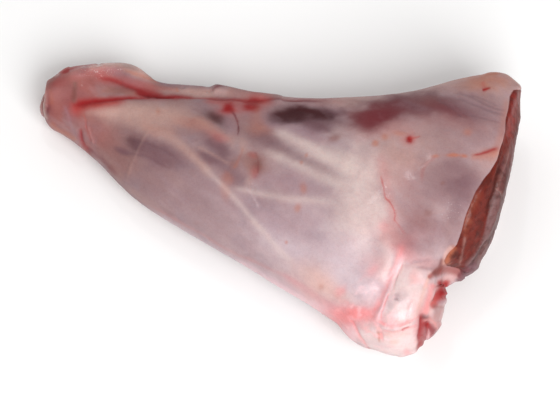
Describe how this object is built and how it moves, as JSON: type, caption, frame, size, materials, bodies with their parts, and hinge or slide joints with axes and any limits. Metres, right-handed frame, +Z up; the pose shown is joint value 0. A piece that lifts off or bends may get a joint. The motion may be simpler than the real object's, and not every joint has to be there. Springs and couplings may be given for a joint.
{
  "type": "raw lamb shank",
  "caption": "Raw lamb shank lying on its side: a tapered muscle in pale fascia, from the narrow hock to a broad cut end, with the shank bone showing at the knee joint.",
  "frame": {"origin": "on the table, under the middle of the whole shank's bounding box", "axes": "+X along the shank from the narrow hock to the cut end, +Y across it towards the calf side, +Z up from the table"},
  "size_m": [0.187, 0.1188, 0.0511],
  "materials": {
    "meat": "raw muscle under pale pink-grey fascia, moist",
    "bone": "white cartilage over bone, moist"
  },
  "bodies": {
    "root": {"meat": "meat", "bone": "bone"}
  },
  "joints": []
}
